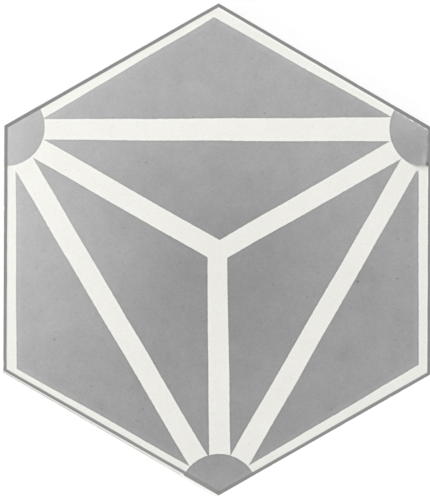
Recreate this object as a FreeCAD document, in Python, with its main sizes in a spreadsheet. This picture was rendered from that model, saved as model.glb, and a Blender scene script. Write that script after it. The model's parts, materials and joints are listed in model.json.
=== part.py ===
import FreeCAD, Part
import os
import Sketcher

# A hexagonal cement floor tile, lying face up with one corner towards +Y.
# It is one pressed slab. The white line-work and the grey fields are flush in its face, so their
# joints only divide the face, the bevel round it and the upper part of the sides.

# Driving sizes in millimetres, turns in degrees
sizes = [
    ("across_flats", 200.0, "width over two opposite sides"),
    ("thickness", 16.0, "height from the back to the wearing face"),
    ("corner_round", 0.8, "radius of the six upright corners"),
    ("arris", 1.6, "width and drop of the bevel round the wearing face"),
    ("colour_depth", 3.5, "depth of the coloured layer below the wearing face"),
    ("border_width", 5.7, "white border, from the tile's side to the grey"),
    ("band_width", 9.7, "white bands of the triangle and of the three arms"),
    ("sector_radius", 18.5, "grey sectors on three alternate corners"),
    ("pattern_turn", 0.7, "turn of the hand-set pattern in the tile"),
    ("pattern_shift_x", -0.4, "sideways place of the pattern's centre"),
    ("pattern_shift_y", -0.3, "place of the pattern's centre along the corner axis"),
]

# The bands repeat three times round the tile
bandRepeats = 3

doc = FreeCAD.newDocument("HexagonTile")

sheet = doc.addObject("Spreadsheet::Sheet", "Sizes")
for row, (alias, value, meaning) in enumerate(sizes, start=1):
    sheet.set("A%d" % row, meaning)
    sheet.set("B%d" % row, str(value))
    sheet.setAlias("B%d" % row, alias)
doc.recompute()

# The centre of the tile to a corner, and the same for the inner edge of the white border
cornerReach = "Sizes.across_flats / 2 / cos(30)"
borderReach = "(Sizes.across_flats / 2 - Sizes.border_width) / cos(30)"

# What is cut off at the tile's sides is drawn out to this distance from the centre
pastTheTile = "Sizes.across_flats"


def addSketch(body, name):
    sketch = body.newObject("Sketcher::SketchObject", name)
    planes = [item for item in body.Origin.OriginFeatures if item.Role == "XY_Plane"]
    sketch.AttachmentSupport = [(planes[0], "")]
    sketch.MapMode = "FlatFace"
    return sketch


def addDimension(sketch, name, expression, *constraint):
    # A named dimension that follows the sheet
    value = float(sketch.evalExpression(expression))
    index = sketch.addConstraint(Sketcher.Constraint(*constraint, value))
    sketch.renameConstraint(index, name)
    sketch.setExpression("Constraints." + name, expression)


def addCircle(sketch, name, radius, construction=False):
    # A circle about the sketch's origin
    value = float(sketch.evalExpression(radius))
    up = FreeCAD.Vector(0, 0, 1)
    circle = sketch.addGeometry(Part.Circle(FreeCAD.Vector(), up, value), construction)
    sketch.addConstraint(Sketcher.Constraint("Coincident", circle, 3, -1, 1))
    addDimension(sketch, name, radius, "Radius", circle)
    return circle


def addHexagon(sketch, name, reach):
    # A regular hexagon with corners on a construction circle, one of them towards +Y
    circle = addCircle(sketch, name, reach, construction=True)
    radius = float(sketch.evalExpression(reach))
    turn = FreeCAD.Rotation(FreeCAD.Vector(0, 0, 1), 60)
    corner = FreeCAD.Vector(0, radius, 0)
    sides = []
    for _ in range(6):
        nextCorner = turn.multVec(corner)
        sides.append(sketch.addGeometry(Part.LineSegment(corner, nextCorner), False))
        corner = nextCorner
    for index, side in enumerate(sides):
        sketch.addConstraint(Sketcher.Constraint("Coincident", sides[index - 1], 2, side, 1))
        sketch.addConstraint(Sketcher.Constraint("PointOnObject", side, 1, circle))
    for side in sides[1:]:
        sketch.addConstraint(Sketcher.Constraint("Equal", sides[0], side))
    sketch.addConstraint(Sketcher.Constraint("Vertical", sides[1]))


def addBar(sketch, wide, deep, top):
    # A rectangle that is even about the Y axis: its width, its depth and the height of its top edge
    halfWide = float(sketch.evalExpression(wide)) / 2
    high = float(sketch.evalExpression(top))
    low = high - float(sketch.evalExpression(deep))
    points = [(-halfWide, low), (halfWide, low), (halfWide, high), (-halfWide, high)]
    corners = [FreeCAD.Vector(across, along, 0) for across, along in points]
    lines = []
    for index, corner in enumerate(corners):
        lines.append(sketch.addGeometry(Part.LineSegment(corners[index - 1], corner), False))
    left, bottom, right, upper = lines
    for index, line in enumerate(lines):
        sketch.addConstraint(Sketcher.Constraint("Coincident", lines[index - 1], 2, line, 1))
    sketch.addConstraint(Sketcher.Constraint("Horizontal", upper))
    for line in (left, right):
        sketch.addConstraint(Sketcher.Constraint("Vertical", line))
    sketch.addConstraint(Sketcher.Constraint("Symmetric", bottom, 1, bottom, 2, -2))
    addDimension(sketch, "wide", wide, "DistanceX", bottom, 1, bottom, 2)
    addDimension(sketch, "deep", deep, "DistanceY", right, 1, right, 2)
    addDimension(sketch, "top", top, "DistanceY", -1, 1, upper, 2)


def addPad(body, name, sketch, height):
    pad = body.newObject("PartDesign::Pad", name)
    pad.Profile = sketch
    pad.setExpression("Length", height)
    sketch.Visibility = False
    return pad


def repeatRound(body, name, feature):
    # The feature, three times round the body's own upright axis
    axes = [item for item in body.Origin.OriginFeatures if item.Role == "Z_Axis"]
    pattern = body.newObject("PartDesign::PolarPattern", name)
    pattern.Originals = [feature]
    pattern.Axis = (axes[0], [""])
    pattern.Angle = 360
    pattern.Occurrences = bandRepeats
    body.Tip = pattern
    doc.recompute()
    return pattern


def makeBlank():
    # The pressed slab: a hexagonal prism with a bevelled face and eased upright corners
    body = doc.addObject("PartDesign::Body", "Blank")
    outline = addSketch(body, "Outline")
    addHexagon(outline, "reach", cornerReach)
    slab = addPad(body, "Slab", outline, "Sizes.thickness")
    doc.recompute()
    heights = [face.CenterOfMass.z for face in slab.Shape.Faces]
    wearingFace = "Face%d" % (heights.index(max(heights)) + 1)
    bevel = body.newObject("PartDesign::Chamfer", "Arris")
    bevel.Base = (slab, [wearingFace])
    bevel.setExpression("Size", "Sizes.arris")
    doc.recompute()
    uprights = []
    for number, edge in enumerate(bevel.Shape.Edges, start=1):
        if abs(edge.tangentAt(edge.FirstParameter).z) > 0.9:
            uprights.append("Edge%d" % number)
    corners = body.newObject("PartDesign::Fillet", "CornerRounds")
    corners.Base = (bevel, uprights)
    corners.setExpression("Radius", "Sizes.corner_round")
    body.Tip = corners
    return body


def makeLineWork():
    # The white lines as deep as the colour: the border, three arms from the centre, three bands that
    # join the same corners, and round gaps at those corners where the grey sectors go
    body = doc.addObject("PartDesign::Body", "LineWork")
    body.AllowCompound = True

    frame = addSketch(body, "BorderLines")
    addCircle(frame, "outside", pastTheTile)
    addHexagon(frame, "inside", borderReach)
    addPad(body, "Border", frame, "Sizes.colour_depth")

    arm = addSketch(body, "ArmLines")
    addBar(arm, "Sizes.band_width", pastTheTile + " + Sizes.band_width / 2", "Sizes.band_width / 2")
    repeatRound(body, "Arms", addPad(body, "Arm", arm, "Sizes.colour_depth"))

    band = addSketch(body, "BandLines")
    addBar(band, "2 * " + pastTheTile, "Sizes.band_width", cornerReach + " / 2 + Sizes.band_width / 2")
    withBands = repeatRound(body, "Bands", addPad(body, "Band", band, "Sizes.colour_depth"))
    volumeBefore = withBands.Shape.Volume

    gap = addSketch(body, "SectorLines")
    centre = FreeCAD.Vector(0, -float(gap.evalExpression(cornerReach)), 0)
    radius = float(gap.evalExpression("Sizes.sector_radius"))
    circle = gap.addGeometry(Part.Circle(centre, FreeCAD.Vector(0, 0, 1), radius), False)
    gap.addConstraint(Sketcher.Constraint("PointOnObject", circle, 3, -2))
    addDimension(gap, "reach", cornerReach, "DistanceY", circle, 3, -1, 1)
    addDimension(gap, "radius", "Sizes.sector_radius", "Radius", circle)
    pocket = body.newObject("PartDesign::Pocket", "SectorGap")
    pocket.Profile = gap
    pocket.setExpression("Length", "Sizes.colour_depth")
    pocket.Reversed = True
    gap.Visibility = False
    withGaps = repeatRound(body, "SectorGaps", pocket)
    if withGaps.Shape.Volume >= volumeBefore:
        raise ValueError("the sector gaps cut nothing")

    body.setExpression("Placement.Base.x", "Sizes.pattern_shift_x")
    body.setExpression("Placement.Base.y", "Sizes.pattern_shift_y")
    body.setExpression("Placement.Base.z", "Sizes.thickness - Sizes.colour_depth")
    body.setExpression("Placement.Rotation.Angle", "Sizes.pattern_turn * 1 deg")
    return body


def makeColourLevel():
    # The height that the coloured layer takes up, wider than the tile
    level = doc.addObject("Part::Cylinder", "ColourLevel")
    level.setExpression("Radius", pastTheTile)
    level.setExpression("Height", "Sizes.colour_depth")
    level.setExpression("Placement.Base.z", "Sizes.thickness - Sizes.colour_depth")
    return level


def combine(kind, name, base, tool):
    result = doc.addObject(kind, name)
    result.Base = base
    result.Tool = tool
    result.Refine = False
    return result


def makeTile():
    # The slab divided along the colour joints, then joined again to one solid. Nothing is refined
    # away, so each white or grey field stays a face of its own, flush with its neighbours.
    blank = makeBlank()
    lineWork = makeLineWork()
    level = makeColourLevel()
    coloured = combine("Part::Common", "ColouredLayer", blank, level)
    backing = combine("Part::Cut", "Backing", blank, level)
    white = combine("Part::Common", "WhiteFields", coloured, lineWork)
    grey = combine("Part::Cut", "GreyFields", coloured, lineWork)
    tile = doc.addObject("Part::MultiFuse", "Tile")
    tile.Label = "hexagon_tile"
    tile.Shapes = [backing, white, grey]
    tile.Refine = False
    tile.Placement = FreeCAD.Placement()
    return tile


tile = makeTile()
doc.recompute()

for item in doc.Objects:
    if "Invalid" in item.State or "Error" in item.State:
        raise ValueError("%s failed: %s" % (item.Label, item.State))
if tile.Shape.isNull() or not tile.Shape.isValid():
    raise ValueError("%s has no valid shape" % tile.Label)
if len(tile.Shape.Solids) != 1:
    raise ValueError("%s is not one solid" % tile.Label)

os.makedirs("parts", exist_ok=True)
tile.Shape.exportStep("parts/%s.step" % tile.Label)
print("solids", len(tile.Shape.Solids), "faces", len(tile.Shape.Faces))
print("volume cm3", round(tile.Shape.Volume / 1000, 2))
print("box mm", [round(length, 3) for length in (
    tile.Shape.BoundBox.XLength, tile.Shape.BoundBox.YLength, tile.Shape.BoundBox.ZLength)])
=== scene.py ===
import json
import math
import bmesh
import bpy
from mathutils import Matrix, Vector, noise

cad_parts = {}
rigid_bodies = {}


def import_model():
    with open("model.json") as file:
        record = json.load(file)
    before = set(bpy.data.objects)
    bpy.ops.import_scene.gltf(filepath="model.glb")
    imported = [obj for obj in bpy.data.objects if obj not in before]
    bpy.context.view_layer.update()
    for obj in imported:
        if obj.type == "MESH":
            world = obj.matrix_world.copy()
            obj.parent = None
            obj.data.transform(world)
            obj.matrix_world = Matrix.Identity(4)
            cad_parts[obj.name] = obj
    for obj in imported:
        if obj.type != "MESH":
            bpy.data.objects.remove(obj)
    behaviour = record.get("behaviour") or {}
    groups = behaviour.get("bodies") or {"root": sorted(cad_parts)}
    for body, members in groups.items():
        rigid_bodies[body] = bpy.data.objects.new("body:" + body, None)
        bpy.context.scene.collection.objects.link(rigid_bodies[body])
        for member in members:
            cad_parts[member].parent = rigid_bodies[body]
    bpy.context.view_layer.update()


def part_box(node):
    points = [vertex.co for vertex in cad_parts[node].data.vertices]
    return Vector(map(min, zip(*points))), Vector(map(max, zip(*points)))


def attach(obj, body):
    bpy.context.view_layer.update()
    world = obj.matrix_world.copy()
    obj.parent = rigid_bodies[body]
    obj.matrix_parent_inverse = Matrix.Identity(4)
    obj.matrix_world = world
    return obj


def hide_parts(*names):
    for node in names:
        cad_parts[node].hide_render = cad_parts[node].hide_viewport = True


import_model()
print("frame loaded")

mm = 0.001
lowCorner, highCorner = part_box("hexagon_tile")
acrossFlats = (highCorner.x - lowCorner.x) / mm
thickness = (highCorner.z - lowCorner.z) / mm
halfFlats = acrossFlats / 2
cornerStretch = 1 / math.cos(math.radians(30))  # corner reach of a hexagon over its half width
cornerRadius = (halfFlats * cornerStretch - highCorner.y / mm) / (cornerStretch - 1)
sideAngles = (0, 60, 120, 180, 240, 300)  # where the six sides face, in degrees


class Signal:  # a socket that takes part in sums
    def __init__(self, paint, socket):
        self.paint = paint
        self.socket = socket

    def maths(self, operation, first, second):
        return self.paint.node("ShaderNodeMath", {"operation": operation}, {0: first, 1: second})

    def other(self, output):  # another output of the same node
        return Signal(self.paint, self.socket.node.outputs[output])

    def __add__(self, number):
        return self.maths("ADD", self, number)

    def __radd__(self, number):
        return self.maths("ADD", number, self)

    def __sub__(self, number):
        return self.maths("SUBTRACT", self, number)

    def __rsub__(self, number):
        return self.maths("SUBTRACT", number, self)

    def __mul__(self, number):
        return self.maths("MULTIPLY", self, number)

    def __rmul__(self, number):
        return self.maths("MULTIPLY", number, self)

    def __truediv__(self, number):
        return self.maths("DIVIDE", self, number)

    def __rtruediv__(self, number):
        return self.maths("DIVIDE", number, self)

    def __pow__(self, number):
        return self.maths("POWER", self, number)

    def __rpow__(self, number):
        return self.maths("POWER", number, self)


class Paint:  # a material while it is mixed, with places in mm
    def __init__(self, name):
        self.material = bpy.data.materials.new(name)
        self.material.use_nodes = True
        self.tree = self.material.node_tree
        self.tree.nodes.clear()
        place = self.node("ShaderNodeTexCoord", output="Object")
        self.place = self.scaled(place, 1 / mm)
        self.x = self.node("ShaderNodeSeparateXYZ", {}, {0: self.place})
        self.y = self.x.other("Y")
        self.z = self.x.other("Z")

    def node(self, kind, settings={}, inputs={}, output=0):
        made = self.tree.nodes.new(kind)
        for name, value in settings.items():
            setattr(made, name, value)
        for name, value in inputs.items():
            if isinstance(value, Signal):
                self.tree.links.new(value.socket, made.inputs[name])
            else:
                made.inputs[name].default_value = value
        return Signal(self, made.outputs[output]) if made.outputs else None

    def scaled(self, vector, times):
        return self.node("ShaderNodeVectorMath", {"operation": "SCALE"}, {0: vector, "Scale": times})

    def added(self, first, second):
        return self.node("ShaderNodeVectorMath", {"operation": "ADD"}, {0: first, 1: second})

    def line(self, place, angle, distance):  # how far a place lies outside a line
        facing = (math.cos(math.radians(angle)), math.sin(math.radians(angle)), 0)
        reach = self.node("ShaderNodeVectorMath", {"operation": "DOT_PRODUCT"},
                          {0: place, 1: facing}, "Value")
        return reach - distance

    def circle(self, place, x, y, radius):  # how far a place lies outside a circle
        flat = self.node("ShaderNodeVectorMath", {"operation": "MULTIPLY"}, {0: place, 1: (1, 1, 0)})
        away = self.node("ShaderNodeVectorMath", {"operation": "DISTANCE"},
                         {0: flat, 1: (x, y, 0)}, "Value")
        return away - radius

    def most(self, *signals):
        highest = signals[0]
        for signal in signals[1:]:
            highest = signal.maths("MAXIMUM", highest, signal)
        return highest

    def least(self, *signals):
        lowest = signals[0]
        for signal in signals[1:]:
            lowest = signal.maths("MINIMUM", lowest, signal)
        return lowest

    def step(self, signal, low, high):  # a soft step from 0 at low to 1 at high
        return self.node("ShaderNodeMapRange", {"interpolation_type": "SMOOTHSTEP"},
                         {0: signal, 1: low, 2: high, 3: 0.0, 4: 1.0})

    def ridge(self, signal, middle, width, height):  # a soft ridge where a signal has this value
        return math.e ** (((signal - middle) / width) ** 2 * -1) * height

    def blotch(self, x, y, wide, tall, turn=0.0):  # a soft round or oval blotch, 1 in its middle
        cosine, sine = math.cos(math.radians(turn)), math.sin(math.radians(turn))
        along = (self.x - x) * (cosine / wide) + (self.y - y) * (sine / wide)
        across = (self.y - y) * (cosine / tall) - (self.x - x) * (sine / tall)
        return math.e ** ((along ** 2 + across ** 2) * -0.5)

    def blotches(self, spots):  # several in one, each spot followed by how high it is
        total = 0
        for *spot, height in spots:
            total = self.blotch(*spot) * height + total
        return total

    def cloud(self, size, seed, detail):  # smooth random values about 0, blotches this large
        grain = self.node("ShaderNodeTexNoise", {"noise_dimensions": "4D"},
                          {"Vector": self.place, "W": seed, "Scale": 1 / size, "Detail": detail})
        return grain - 0.5

    def clouds(self, layers):  # several in one, each cloud followed by how high it is
        total = 0
        for *layer, height in layers:
            total = self.cloud(*layer) * height + total
        return total

    def drift(self, size, seed, amount):  # random small shifts of a place
        grain = self.node("ShaderNodeTexNoise", {"noise_dimensions": "4D"},
                          {"Vector": self.place, "W": seed, "Scale": 1 / size, "Detail": 1.0}, "Color")
        middle = self.added(grain, (-0.5, -0.5, -0.5))
        return self.scaled(middle, amount)

    def cells(self, size, dimensions="3D"):  # distance to the nearest of many points, its own chance
        cell = self.node("ShaderNodeTexVoronoi", {"voronoi_dimensions": dimensions},
                         {"Vector": self.place, "Scale": 1 / size}, "Distance")
        chance = self.node("ShaderNodeSeparateColor", {}, {0: cell.other("Color")})
        return cell * size, chance

    def attribute(self, name):
        return self.node("ShaderNodeAttribute", {"attribute_name": name}, {}, "Fac")

    def tinted(self, value, tint):
        return self.node("ShaderNodeMix", {"data_type": "RGBA", "blend_type": "MULTIPLY"},
                         {0: 1.0, 6: (*tint, 1), 7: value}, 2)

    def mixed(self, share, first, second):
        return self.node("ShaderNodeMix", {"data_type": "RGBA"}, {0: share, 6: first, 7: second}, 2)

    def bumped(self, height):  # height in mm
        return self.node("ShaderNodeBump", {}, {"Height": height, "Distance": mm, "Strength": 1.0})

    def finished(self, colour, roughness, normal, shine=0.5):
        shader = self.node("ShaderNodeBsdfPrincipled", {},
                           {"Base Color": colour, "Roughness": roughness, "Normal": normal,
                            "Specular IOR Level": shine})
        self.node("ShaderNodeOutputMaterial", {}, {"Surface": shader})
        return self.material


brightness = {
    "sheet": 1.2,  # how bright a white sheet looks under all the lamps
    "sheen": 0.027,  # what the face mirrors on top of that
}


def asPaint(level):  # a shade of 0 to 255 as it should look, as a share of light sent back
    sentBack = ((level + 14.025) / 269.025) ** 2.4  # the sRGB curve, for shades up to 255
    return (sentBack - brightness["sheen"]) / brightness["sheet"]


# The pressed pattern as it lies on this tile, in mm and degrees. Each line has the angle that
# it faces and its distance from the middle. The divider was set by hand, so none is quite true.
pattern = {
    "borders": {0: (0.3, 6.1), 60: (1.0, 6.1), 120: (0.9, 5.6),  # side: turn, width
                180: (0.7, 5.8), 240: (0.85, 5.6), 300: (1.1, 5.8)},
    "bands": (((90.5, 61.5), (90.0, 51.1)),  # outer line, inner line
              ((-149.2, 62.5), (-149.3, 52.7)),
              ((-29.3, 62.5), (-29.6, 53.2))),
    "arms": ((150, (60.6, 4.5), (-119.4, 5.3)),  # way it points, its two lines
             (30, (120.4, 3.4), (-60.0, 5.5)),
             (-90, (-179.3, 4.6), (1.1, 4.6))),
    "armOverlap": 3.2,  # how far an arm runs past the middle
    "sectors": ((-99.3, 57.1, 18.42), (98.5, 56.9, 18.4), (1.15, -114.05, 18.75)),  # x, y, radius
    "sectorFoot": (-90, -39.5),  # a line that the arc on the right runs into: way it faces, distance
    "coveredTip": (93.4, 38.6, 1.3),  # the grey wedge below it is cut short here: x, y, radius
    "bow": (42.0, 1.0, 1.1),  # how the lines bow: length, seed, amount
    "tremble": (1.6, 2.0, 0.35),  # and how they tremble
}


def tremblingPlace(paint):  # the place, shifted as the divider's lines bow and tremble
    place = paint.added(paint.place, paint.drift(*pattern["bow"]))
    return paint.added(place, paint.drift(*pattern["tremble"]))


def sectorDistance(paint, place):  # how far a place lies outside the grey corner sectors
    left, right, bottom = [paint.circle(place, *sector) for sector in pattern["sectors"]]
    right = paint.most(right, paint.line(place, *pattern["sectorFoot"]))
    return paint.least(left, right, bottom)


def patternDistances(paint):  # how far a place lies inside the white, the border, outside the sectors
    place = tremblingPlace(paint)
    borders = []
    for side, (turn, width) in pattern["borders"].items():
        distance = (halfFlats - width) * math.cos(math.radians(turn))
        borders.append(paint.line(place, side + turn, distance))
    bands = [paint.least(0 - paint.line(place, *outer), paint.line(place, *inner))
             for outer, inner in pattern["bands"]]
    arms = [paint.least(0 - paint.line(place, *first), 0 - paint.line(place, *second),
                        paint.line(place, way, -pattern["armOverlap"]))
            for way, first, second in pattern["arms"]]
    border = paint.most(*borders)
    cover = 0 - paint.circle(place, *pattern["coveredTip"])
    sector = sectorDistance(paint, place)
    white = paint.least(paint.most(border, *bands, *arms, cover), sector)
    return white, border, sector


# The wearing face. Shades go from 0 to 255 and lengths are in mm. A blotch is given as x, y,
# width, height, turn and a cloud as blotch size, seed, detail, each followed by how much it adds,
# which makes a shade lighter. A fade is given by where it begins and ends, and a ridge by its
# middle and width, then its height where it has one of its own.
face = {
    "whiteLevel": 238.2,
    "whiteTint": (1.0, 0.9915, 0.945),
    "whiteGlareSlope": (-0.043, 0.055),  # per mm to the right, per mm upwards; painted light, lighter towards the upper left as under a lamp there
    "whiteClouds": ((14.0, 7.0, 2.0, 5.0),),
    "whiteGrain": 23.0,
    "whiteSpecks": 0.7,  # how strongly the specks show in the white, 1 is as in the grey
    "greyLevel": 164.2,
    # painted light: the grey grows lighter upwards, as under a lamp at the upper left
    "greyGlareSlope": (-0.006, 0.098),
    "greyClouds": ((24.0, 4.0, 2.0, 10.0), (8.0, 5.0, 3.0, 13.0), (2.2, 18.0, 2.0, 7.0)),
    "greyGrain": 27.0,
    "grain": (0.6, 6.0, 3.0),
    "bareLevel": 150.0,  # the bare band along the arris
    "bareClouds": ((2.0, 8.0, 2.0, 8.0),),
    "bareMarks": 0.5,  # how strongly the small marks show in it
    "bareWidth": 1.75,
    "bareWaves": ((9.0, 3.0, 2.0, 0.35),),
    "bareFade": (-0.25, 0.25),
    "setBack": {240: (240.5, 97.2)},  # side: the line where its bare band begins, if not at the arris
    "jointSoftness": 0.12,
    "jointShadow": (-0.55, 0.25, -8.0),  # beside each joint: a ridge in the grey, how much lighter
    "jointGlow": (0.6, 0.35, 4.0),  # and one in the white
    "borderLift": 5.0,  # how much lighter the grey is beside the border and the arris
    "borderFade": (-3.5, -0.8),
    "borderEnd": (0.0, 1.0),  # where that fades, before it reaches a corner sector
    "arrisFade": (-2.05, -0.15),
    "rimHighlights": {60: 12.0, 0: 7.0},  # side: how much lighter the white is beside the arris, a painted highlight where the rim catches the light
    "rimRidge": (-0.4, 0.45),
    # slow shades; the first two of each list are painted light, a glare that makes the face lighter towards
    # the left and darker across its middle, the rest are the cement's own tone
    "greyGlareAndTones": ((1.8, -7.8, 36.2, 36.2, 0, -17.7), (-186.8, 21.5, 79.6, 79.6, 0, 46.7),
                   (-98, 62, 9, 12, 0, 4), (2, -106, 12, 6, 0, 4), (96, 34, 12, 26, 0, -3)),
    "whiteGlareAndTones": ((0, 0, 34, 34, 0, -3.7), (-104, 10, 22, 40, 0, 2.0), (80, -80, 30, 30, 0, 2.2),
                    (8, 97, 42, 12, 0, -4.0), (40, -90, 14, 9, 0, 3.0)),
    # the cloudy patches that show most
    "patches": ((67.5, -15.0, 9.0, 9.0, 0, -6.5), (61.0, -47.0, 7.0, 6.0, 0, -5.0),
                (-72.6, -21.0, 12.0, 4.0, 35, -4.0), (-62, -4, 13, 16, 0, 5), (50, -14, 12, 14, 0, 4),
                (-46, 32, 16, 9, 0, -4), (-56, -48, 16, 10, 0, -2), (32, 18, 13, 9, 0, 2),
                (-32, -64, 8, 10, 0, -4), (40, 48, 20, 10, 0, 2), (-32, 2, 7, 7, 0, 2.5),
                (17, -15, 6, 6, 0, -2.5), (86, 62, 9, 4, -30, 6), (90, 48.5, 6, 5, 0, -3.5),
                (1.5, -98.5, 4, 3.5, 0, -4), (-1, -109, 7, 3, 0, 3), (-86, 46, 5, 6, 0, -5),
                (-79, -27, 6, 6, 0, 5), (72, 65, 6, 4, 0, -5)),
    # small marks at the right-hand corner: white slips along the arris, a pale rim and a dark nick
    "marks": ((84.3, 64.35, 1.2, 0.17, -30, 32), (87.2, 62.7, 0.9, 0.17, -30, 44),
              (90.3, 61.0, 0.9, 0.17, -30, 85), (93.95, 58.8, 0.8, 0.17, -30, 42),
              (97.0, 57.0, 1.1, 0.17, -30, 52), (96.7, 47.0, 0.8, 8.0, 0, 5),
              (96.1, 42.8, 0.8, 2.4, 0, 11), (97.85, 46.0, 0.3, 8.0, 0, -24),
              (97.9, 49.6, 0.3, 0.5, 0, 26), (97.9, 47.3, 0.3, 0.9, 0, 18),
              (97.9, 55.0, 0.3, 0.5, 0, 22), (97.7, 40.6, 0.35, 0.9, 0, -50)),
    "bleed": (94.0, 39.4, 5.0, 2.0),  # where the grey has bled into the white: x, y, width, height
    "bleedSoftness": 0.85,
    "haze": (96.0, 38.9, 3.0, 0.7, 0, -20),  # and what it left there
    # dark specks: many faint ones, at random
    "speckSpacing": 5.3,
    "speckSize": (0.3, 0.35),  # the least, and how much more at most
    "speckDepth": (5.0, 11.0),
    "speckRarity": 5,  # the higher, the fewer are deep
    "speckFade": (1.0, 0.3),
    "sectorSpecks": 0.3,  # how strongly they show in the corner sectors
    "sectorFade": (-1.0, 0.0),
    # and those that show most: x, y, width, how much lighter
    "specks": ((65.5, -14.4, 1.1, -30), (84.1, -12.9, 0.8, -30), (21.7, 63.9, 0.8, -24),
               (-75.9, -42.2, 1.2, -18), (-33.4, 40.7, 0.8, -19), (53.6, -74.2, 0.8, -18),
               (-32.8, -70.0, 0.9, -14), (88.3, 4.9, 0.8, -14), (83.3, -41.9, 0.8, -14),
               (-84.5, -8.6, 0.8, -13), (89.2, -7.3, 0.8, -12), (-37.0, -79.8, 0.8, -12)),
    "roughness": 0.72,
    "roughClouds": ((6.0, 9.0, 2.0, 0.12),),
    "bareRoughness": 0.2,  # how much rougher the bare band is
    "shine": 0.3,
    "grainHeight": 0.02,
    "speckHeight": -0.004,  # for each shade that a speck is darker
    "waveHeight": ((1.8, 10.0, 2.0, 0.015),),
}

# White cement that ran over one arris, outside its bare band, in the same measures. Each line
# has the angle that it faces and its distance from the middle.
overrun = {
    "line": (240.45, 98.7),
    "sectorStep": 0.5,  # how much further out it begins along the grey sector
    "sectorFade": (0.3, -0.3),
    # lighter than the face's white: partly white cement, partly painted light against the slope's shade
    "level": 252.0,
    "grain": 20.0,
    "crackLine": (240.3, 99.45),
    "crackRidge": (0.0, 0.15, -60.0),
    "crackClouds": ((7.0, 19.0, 2.0, 2.0),),
    "crackEnd": (0.5, 2.5),  # where it fades, before it reaches the sector
    "paintedLightBeyondCrack": 14.0,  # how much lighter the outermost strip is, painted light against the shade of the sloping arris
    "beyondFade": (0.0, 0.4),
    "sideFade": (0.3, 1.0),
}


def darkSpecks(paint, sector):  # how much darker the specks make the face
    reach, chance = paint.cells(face["speckSpacing"], "2D")
    leastSize, moreSize = face["speckSize"]
    leastDepth, moreDepth = face["speckDepth"]
    size = chance * moreSize + leastSize
    depth = chance.other("Green") ** face["speckRarity"] * moreDepth + leastDepth
    inSector = face["sectorSpecks"]
    shown = paint.step(sector, *face["sectorFade"]) * (1 - inSector) + inSector
    specks = paint.step(reach / size, *face["speckFade"]) * depth * shown
    for x, y, width, lighter in face["specks"]:
        specks = specks - paint.step(paint.circle(paint.place, x, y, 0), width, 0) * lighter
    return specks


def whiteOverrun(paint, sector, grain):  # where it lies, and its colour
    beyond = paint.line(paint.place, *overrun["line"])
    beyond = beyond - paint.step(sector, *overrun["sectorFade"]) * overrun["sectorStep"]
    outside = paint.line(paint.place, *overrun["crackLine"])
    crack = paint.ridge(outside, *overrun["crackRidge"]) * (paint.clouds(overrun["crackClouds"]) + 1)
    level = overrun["level"] + crack * paint.step(sector, *overrun["crackEnd"])
    # painted light: the strip beyond the crack is lifted against the arris's shade
    level = level + paint.step(outside, *overrun["beyondFade"]) * overrun["paintedLightBeyondCrack"]
    level = level + grain * overrun["grain"]
    return paint.step(beyond, *face["bareFade"]), paint.tinted(asPaint(level), face["whiteTint"])


def pressedFace():
    paint = Paint("pressedFace")
    white, border, sector = patternDistances(paint)
    bareLine = {side: (side, halfFlats - face["bareWidth"]) for side in sideAngles}
    bareLine.update(face["setBack"])
    edge = paint.most(*[paint.line(paint.place, *bareLine[side]) for side in sideAngles])
    edge = edge + paint.clouds(face["bareWaves"])
    grain = paint.cloud(*face["grain"])
    specks = darkSpecks(paint, sector)
    marks = paint.blotches(face["marks"])

    # the grey fields
    # painted light: the slope and the first two slow shades lighten the grey towards the upper left and
    # darken its middle
    grey = face["greyLevel"] + paint.x * face["greyGlareSlope"][0] + paint.y * face["greyGlareSlope"][1]
    grey = grey + paint.blotches(face["greyGlareAndTones"] + face["patches"]) + paint.clouds(face["greyClouds"])
    grey = grey + grain * face["greyGrain"] - specks + marks
    grey = grey + paint.ridge(white, *face["jointShadow"])
    besideBorder = paint.step(border, *face["borderFade"]) * paint.step(sector, *face["borderEnd"])
    besideArris = paint.step(edge, *face["arrisFade"])
    grey = grey + paint.most(besideBorder, besideArris) * face["borderLift"]

    # the white lines and border
    # painted light: the slope and the first two slow shades lighten the white towards the upper left and
    # darken its middle
    bright = face["whiteLevel"] + paint.x * face["whiteGlareSlope"][0] + paint.y * face["whiteGlareSlope"][1]
    bright = bright + paint.blotches((*face["whiteGlareAndTones"], face["haze"]))
    bright = bright + paint.clouds(face["whiteClouds"])
    bright = bright + grain * face["whiteGrain"] - specks * face["whiteSpecks"]
    bright = bright + paint.ridge(white, *face["jointGlow"])
    # painted highlight along the rim of two sides, where it would catch the light
    for side, lighter in face["rimHighlights"].items():
        beside = paint.line(paint.place, *bareLine[side])
        bright = bright + paint.ridge(beside, *face["rimRidge"], lighter)

    bare = face["bareLevel"] + paint.clouds(face["bareClouds"]) + marks * face["bareMarks"]
    soft = paint.blotch(*face["bleed"]) * face["bleedSoftness"] + face["jointSoftness"]
    bareShare = paint.step(edge, *face["bareFade"])
    whiteColour = paint.tinted(asPaint(bright), face["whiteTint"])
    colour = paint.mixed(paint.step(white, 0 - soft, soft), asPaint(grey), whiteColour)
    colour = paint.mixed(bareShare, colour, asPaint(bare))
    overShare, overColour = whiteOverrun(paint, sector, grain)
    colour = paint.mixed(overShare, colour, overColour)

    roughness = face["roughness"] + paint.clouds(face["roughClouds"]) + bareShare * face["bareRoughness"]
    height = grain * face["grainHeight"] + specks * face["speckHeight"] + paint.clouds(face["waveHeight"])
    return paint.finished(colour, roughness, paint.bumped(height), face["shine"])


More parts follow.
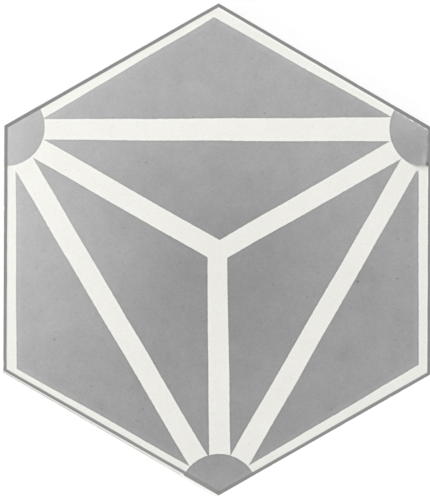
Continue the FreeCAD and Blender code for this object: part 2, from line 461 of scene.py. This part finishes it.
# the cement below the face, in the same measures
cast = {
    "layerDepth": 3.5,  # how deep the coloured cement reaches
    "layerWaves": ((13.0, 13.0, 2.0, 1.5), (2.2, 14.0, 2.0, 0.8)),
    "layerFade": (-0.25, 0.2),
    "sectorFade": (-0.2, 0.2),
    "whiteLevel": 214.0,
    "whiteClouds": ((3.0, 16.0, 3.0, 26.0),),
    "greyLevel": 150.0,
    "greyClouds": ((3.0, 17.0, 3.0, 18.0),),
    "smear": 0.55,  # how thickly mortar is smeared over the layer
    "smearCloud": (5.0, 15.0, 4.0),
    "smearFade": (0.02, 0.16),
    "seamShadow": (0.6, 0.9, -8.0),  # in the mortar just below the layer
    "sideLevel": 152.0,
    "backLevel": 146.0,
    "mortarTint": (1.0, 0.985, 0.955),
    "mortarClouds": ((12.0, 12.0, 3.0, 26.0),),
    "sandSize": 1.3,
    "sandFade": (0.75, 0.35),
    "sandShade": 34.0,
    "sandHeight": 0.10,
    "fineSand": (0.5, 11.0, 3.0),
    "fineShade": 30.0,
    "fineHeight": 0.12,
    "sidePitShade": -62.0,
    "backPitShade": -50.0,
    "pitFade": (0.3, 0.9),  # how hollow a pit is where the layer's colour stops
    "roughness": 0.9,
    "layerSmoother": 0.2,  # how much less rough the layer is
    "layerFlatter": 0.75,  # and how much flatter, as a share
    "backRoughness": 0.92,
}


def mortar(paint, level):  # sandy cement: its shade and its height in mm
    reach, chance = paint.cells(cast["sandSize"])
    sand = (chance - 0.5) * paint.step(reach, *cast["sandFade"])
    fine = paint.cloud(*cast["fineSand"])
    shade = level + sand * cast["sandShade"] + fine * cast["fineShade"] + paint.clouds(cast["mortarClouds"])
    return shade, sand * cast["sandHeight"] + fine * cast["fineHeight"]


def castEdge():
    paint = Paint("castEdge")
    sector = sectorDistance(paint, tremblingPlace(paint))
    hollow = paint.attribute("hollow")
    depth = thickness - paint.z
    lower = cast["layerDepth"] + paint.clouds(cast["layerWaves"])
    inLayer = paint.step(lower - depth, *cast["layerFade"])
    smear = paint.step(paint.cloud(*cast["smearCloud"]), *cast["smearFade"]) * cast["smear"]

    shade, height = mortar(paint, cast["sideLevel"])
    shade = shade + paint.ridge(depth - lower, *cast["seamShadow"]) + hollow * cast["sidePitShade"]
    mortarColour = paint.tinted(asPaint(shade), cast["mortarTint"])
    whiteShade = asPaint(cast["whiteLevel"] + paint.clouds(cast["whiteClouds"]))
    greyShade = asPaint(cast["greyLevel"] + paint.clouds(cast["greyClouds"]))
    overEdge = paint.step(paint.line(paint.place, *overrun["line"]), *overrun["sideFade"])
    whiteShare = paint.most(paint.step(sector, *cast["sectorFade"]), overEdge)
    layer = paint.mixed(whiteShare, greyShade, paint.tinted(whiteShade, face["whiteTint"]))
    share = inLayer * (1 - smear) * (1 - paint.step(hollow, *cast["pitFade"]))
    colour = paint.mixed(share, mortarColour, layer)

    roughness = cast["roughness"] - inLayer * cast["layerSmoother"]
    return paint.finished(colour, roughness, paint.bumped(height * (1 - inLayer * cast["layerFlatter"])))


def sandyBack():
    paint = Paint("sandyBack")
    shade, height = mortar(paint, cast["backLevel"])
    shade = shade + paint.attribute("hollow") * cast["backPitShade"]
    colour = paint.tinted(asPaint(shade), cast["mortarTint"])
    return paint.finished(colour, cast["backRoughness"], paint.bumped(height))


tile = {
    "latticeCuts": 63,  # cuts along each side of the face's six triangles
    "rimCuts": 3,  # further cuts along the rim, for its small chips
    "arris": 1.6,
    "supportLoop": 0.3,  # a ring of faces this wide just inside the arris
    # the worn arris from the face outwards: how far out and how far down, as shares of its width
    "arrisSection": ((0.0, 0.03), (0.14, 0.17), (0.4, 0.42), (0.68, 0.7), (0.9, 0.95), (1.0, 1.15)),
    "sideRows": 30,  # cuts down each side
    "footRound": 0.35,  # the broken lower edge
    "footJoin": 0.02,  # points this near to each other at the foot become one
    "sheetSize": 310.0,  # the flat sheet that the surface is laid out on, in mm
    "sheetGap": 2.0,
    "backScale": 0.5,  # the back's size on that sheet, against the face's
}

# How the surface is worn, in mm. A wave is given by its depth and its length.
wear = {
    "backBelow": -0.6,  # a spot is on the back if it faces down this much
    "arrisAbove": 0.2,  # and on the arris if it faces up this much
    "faceWave": (0.05, 38.0),
    "backSand": (0.16, 5.0),
    "arrisWave": (0.03, 4.0),
    "chipDepth": 0.6,
    "chipLength": 2.6,
    "chipLimit": 0.42,  # the higher, the fewer chips
    "chipShift": (0, 0, 7),  # another value puts them in other places
    "sideWaves": ((0.1, 1.1), (0.07, 6.0)),
    "layerShare": 0.2,  # how much of the side's waves the smoother coloured layer has
    "belowLayer": 0.06,  # how far the mortar lies behind it
    "footDepth": 1.3,
    "footHeight": 1.6,
    "footLength": 3.2,
    "footMore": 0.15,  # the higher, the more of the foot is broken
    "sidePits": (7.0, 0.3, 0.6),  # spacing, share of the spots that have one, depth
    "backPits": (12.0, 0.35, 0.8),
    "pitRadius": (0.09, 0.18),  # smallest and largest, as shares of the spacing
    "pitChoice": 7.3,  # another value gives other spots a pit
    "sidePitHollow": 1.5,  # how hollow a pit is for the materials, for each mm of its depth
    "backPitHollow": 1.4,
}


def wave(place, depth, length):  # from 0 to its depth
    return depth * (0.5 + 0.5 * noise.noise(place / length))


def pit(place, spacing, chance, depth):  # one round hollow at some of the spots
    distances, points = noise.voronoi(place / spacing)
    luck = abs(noise.cell(points[0] * wear["pitChoice"])) % 1.0
    if luck > chance:
        return 0.0
    smallest, largest = wear["pitRadius"]
    radius = smallest + (largest - smallest) * luck / chance
    nearness = 1 - (distances[0] / radius) ** 2
    return depth * math.sqrt(nearness) if nearness > 0 else 0.0


def wornDepth(place, part):  # how far the surface lies inside the true form, and how hollow it is
    if part == "face":
        return wave(place, *wear["faceWave"]), 0.0
    if part == "back":
        depth, length = wear["backSand"]
        sand = depth * (0.5 + 0.5 * noise.fractal(place / length, 1.0, 2.0, 3))
        hole = pit(place, *wear["backPits"])
        return max(sand, 0) + hole, min(hole * wear["backPitHollow"], 1.0)
    if part == "arris":
        chip = noise.noise(place / wear["chipLength"] + Vector(wear["chipShift"])) - wear["chipLimit"]
        return wave(place, *wear["arrisWave"]) + max(chip, 0) * wear["chipDepth"], 0.0
    sand = sum(wave(place, *each) for each in wear["sideWaves"])
    if thickness - place.z < cast["layerDepth"]:
        return sand * wear["layerShare"], 0.0
    hole = pit(place, *wear["sidePits"])
    broken = max(noise.noise(place / wear["footLength"]) + wear["footMore"], 0)
    foot = max(1 - place.z / wear["footHeight"], 0) * broken * wear["footDepth"]
    return sand + wear["belowLayer"] + hole + foot, min(hole * wear["sidePitHollow"], 1.0)


def addLattices(bm, inner):  # a fine flat lattice for the face, and one for the back
    bmesh.ops.create_circle(bm, cap_ends=True, cap_tris=True, segments=6, radius=inner * cornerStretch)
    bmesh.ops.translate(bm, verts=bm.verts[:], vec=(0, 0, thickness))
    bmesh.ops.subdivide_edges(bm, edges=bm.edges[:], cuts=tile["latticeCuts"], use_grid_fill=True)
    rim = [edge for edge in bm.edges if edge.is_boundary]
    bmesh.ops.subdivide_edges(bm, edges=rim, cuts=tile["rimCuts"])
    copied = bmesh.ops.duplicate(bm, geom=bm.verts[:] + bm.edges[:] + bm.faces[:])["geom"]
    backVerts = [item for item in copied if isinstance(item, bmesh.types.BMVert)]
    backFaces = [item for item in copied if isinstance(item, bmesh.types.BMFace)]
    backSize = (halfFlats - tile["footRound"]) / inner
    bmesh.ops.reverse_faces(bm, faces=backFaces)
    bmesh.ops.scale(bm, verts=backVerts, vec=(backSize, backSize, 0))


def drawSides(bm, inner):  # the face's rim, drawn outwards and down along the tile's section
    section = [(halfFlats - tile["arris"], 0.0)]
    for out, down in tile["arrisSection"]:
        section.append((halfFlats - tile["arris"] * (1 - out), tile["arris"] * down))
    foot = tile["footRound"]
    section += [(halfFlats, thickness - foot), (halfFlats - foot, thickness)]
    ring = [edge for edge in bm.edges if edge.is_boundary and edge.verts[0].co.z > thickness / 2]
    reach = inner
    for out, down in section:
        made = bmesh.ops.extrude_edge_only(bm, edges=ring)["geom"]
        ringVerts = [item for item in made if isinstance(item, bmesh.types.BMVert)]
        ring = [item for item in made if isinstance(item, bmesh.types.BMEdge) and item.is_boundary]
        bmesh.ops.scale(bm, verts=ringVerts, vec=(out / reach, out / reach, 1))
        for vert in ringVerts:
            vert.co.z = thickness - down
        reach = out
    uprights = [edge for edge in bm.edges
                if abs(edge.verts[0].co.z - edge.verts[1].co.z) > thickness / 2]
    bmesh.ops.subdivide_edges(bm, edges=uprights, cuts=tile["sideRows"], use_grid_fill=True)
    footVerts = [vert for vert in bm.verts if vert.is_boundary]
    bmesh.ops.remove_doubles(bm, verts=footVerts, dist=tile["footJoin"])
    bmesh.ops.recalc_face_normals(bm, faces=bm.faces[:])
    bm.normal_update()


def roundUprights(bm):  # the six upright edges get the tile's corner radius
    axisReach = (halfFlats - cornerRadius) * cornerStretch
    for vert in bm.verts:
        corner = round((math.degrees(math.atan2(vert.co.y, vert.co.x)) - 30) / 60) * 60 + 30
        towards = Vector((math.cos(math.radians(corner)), math.sin(math.radians(corner)), 0))
        away = Vector((vert.co.x, vert.co.y, 0)) - towards * axisReach
        if away.length > cornerRadius and away.angle(towards) <= math.radians(30.01):
            vert.co -= away * (1 - cornerRadius / away.length)
    bm.normal_update()


def partOf(vert):
    if vert.co.z > thickness - 0.001:
        return "face"
    if vert.normal.z < wear["backBelow"]:
        return "back"
    return "arris" if vert.normal.z > wear["arrisAbove"] else "side"


def wearDown(bm, hollow):  # always inwards, so the tile stays inside its true form
    for vert in bm.verts:
        depth, vert[hollow] = wornDepth(vert.co.copy(), partOf(vert))
        vert.co -= vert.normal * max(depth, 0)


def layOut(bm):  # the surface laid out flat without overlaps, most of the sheet for the face
    sheet = bm.loops.layers.uv.new("OFBake")
    size, gap = tile["sheetSize"], tile["sheetGap"]
    sideLength = halfFlats * cornerStretch
    rowStep, columnStep = thickness + gap, sideLength + gap
    faceX = gap + halfFlats
    faceY = size - gap - sideLength
    backX = size - gap - halfFlats * tile["backScale"]
    backY = size - gap - sideLength * tile["backScale"]
    for polygon in bm.faces:
        middle = polygon.calc_center_median()
        up = polygon.normal.z
        side = round(math.degrees(math.atan2(middle.y, middle.x)) / 60) % 6
        turn = math.radians(60 * side)
        for loop in polygon.loops:
            x, y, z = loop.vert.co
            if up > 0.5:
                polygon.material_index = 0
                spot = (faceX + x, faceY + y)
            elif up < -0.5:
                polygon.material_index = 2
                spot = (backX - x * tile["backScale"], backY + y * tile["backScale"])
            else:
                polygon.material_index = 1
                along = y * math.cos(turn) - x * math.sin(turn) + sideLength / 2
                spot = (gap + side % 2 * columnStep + along, gap + side // 2 * rowStep + z)
            loop[sheet].uv = (spot[0] / size, spot[1] / size)


def tileBody():
    bm = bmesh.new()
    hollow = bm.verts.layers.float.new("hollow")
    inner = halfFlats - tile["arris"] - tile["supportLoop"]
    addLattices(bm, inner)
    drawSides(bm, inner)
    roundUprights(bm)
    wearDown(bm, hollow)
    layOut(bm)
    bmesh.ops.scale(bm, verts=bm.verts[:], vec=(mm, mm, mm))
    for polygon in bm.faces:
        polygon.smooth = True
    return bm


def addTile():
    bm = tileBody()
    mesh = bpy.data.meshes.new("tile_body")
    bm.to_mesh(mesh)
    triangles = sum(len(polygon.verts) - 2 for polygon in bm.faces)
    openEdges = sum(len(edge.link_faces) != 2 for edge in bm.edges)
    print("tile body:", triangles, "triangles,", openEdges, "open edges")
    bm.free()
    body = bpy.data.objects.new("tile_body", mesh)
    bpy.context.collection.objects.link(body)
    for material in (pressedFace(), castEdge(), sandyBack()):
        mesh.materials.append(material)
    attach(body, "root")
    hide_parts("hexagon_tile")


addTile()

floor = {
    "size": 12.0,  # in metres
    "shade": 0.88,
    "roughness": 0.9,
}


def addFloor():
    bm = bmesh.new()
    bmesh.ops.create_grid(bm, x_segments=2, y_segments=2, size=floor["size"] / 2)
    mesh = bpy.data.meshes.new("floor")
    bm.to_mesh(mesh)
    bm.free()
    ground = bpy.data.objects.new("floor", mesh)
    bpy.context.collection.objects.link(ground)
    material = bpy.data.materials.new("paleFloor")
    material.use_nodes = True
    shader = material.node_tree.nodes["Principled BSDF"]
    shader.inputs["Base Color"].default_value = (floor["shade"], floor["shade"], floor["shade"], 1)
    shader.inputs["Roughness"].default_value = floor["roughness"]
    shader.inputs["Specular IOR Level"].default_value = 0.0
    mesh.materials.append(material)


light = {
    "skyAbove": 0.30,
    "skyAtHorizon": 0.95,
    "horizonHeight": 0.3,  # how high up the sky's pale rim reaches, as a share
    "topStrength": 2.65,
    "topSpread": 9.0,  # degrees across, the wider the softer
    "topPlace": (0.0, 0.0, 2.0),
    "sideStrength": 0.33,
    "sideSpread": 28.0,
    "sidePlace": (-1.5, -1.1, 1.5),
}


def addLamp(name, place, spread, strength):
    lamp = bpy.data.lights.new(name, "SUN")
    lamp.angle = math.radians(spread)
    lamp.energy = strength
    holder = bpy.data.objects.new(name, lamp)
    holder.location = place
    holder.rotation_euler = Vector(place).to_track_quat("Z", "Y").to_euler()
    bpy.context.collection.objects.link(holder)


def addSky():  # paler towards the horizon
    world = bpy.data.worlds.new("studio")
    world.use_nodes = True
    nodes, links = world.node_tree.nodes, world.node_tree.links
    direction = nodes.new("ShaderNodeTexCoord")
    parts = nodes.new("ShaderNodeSeparateXYZ")
    fade = nodes.new("ShaderNodeMapRange")
    fade.inputs["From Max"].default_value = light["horizonHeight"]
    fade.inputs["To Min"].default_value = light["skyAtHorizon"]
    fade.inputs["To Max"].default_value = light["skyAbove"]
    links.new(direction.outputs["Generated"], parts.inputs[0])
    links.new(parts.outputs["Z"], fade.inputs["Value"])
    links.new(fade.outputs[0], nodes["Background"].inputs["Strength"])
    nodes["Background"].inputs["Color"].default_value = (1, 1, 1, 1)
    bpy.context.scene.world = world


addFloor()
addLamp("topLamp", light["topPlace"], light["topSpread"], light["topStrength"])
addLamp("sideLamp", light["sidePlace"], light["sideSpread"], light["sideStrength"])
addSky()
bpy.context.scene.view_settings.view_transform = "Standard"
print("floor and lamps placed")

camera = {
    "lens": 200.0,
    "sensor": 36.0,
    "pixelsTall": 500,
    "pixelsPerMm": 2.141,  # how large the face shows in the picture
    "middle": (-1.17, 0.0),  # what the picture's middle looks at, in mm
    "turn": 0.27,
}


def addCamera():
    eye = bpy.data.cameras.new("camera")
    eye.lens = camera["lens"]
    eye.sensor_width = camera["sensor"]
    height = camera["pixelsTall"] / camera["pixelsPerMm"] * camera["lens"] / camera["sensor"]
    holder = bpy.data.objects.new("camera", eye)
    holder.location = (camera["middle"][0] * mm, camera["middle"][1] * mm, (thickness + height) * mm)
    holder.rotation_euler = (0, 0, math.radians(camera["turn"]))
    bpy.context.collection.objects.link(holder)
    bpy.context.scene.camera = holder


addCamera()
print("camera placed")
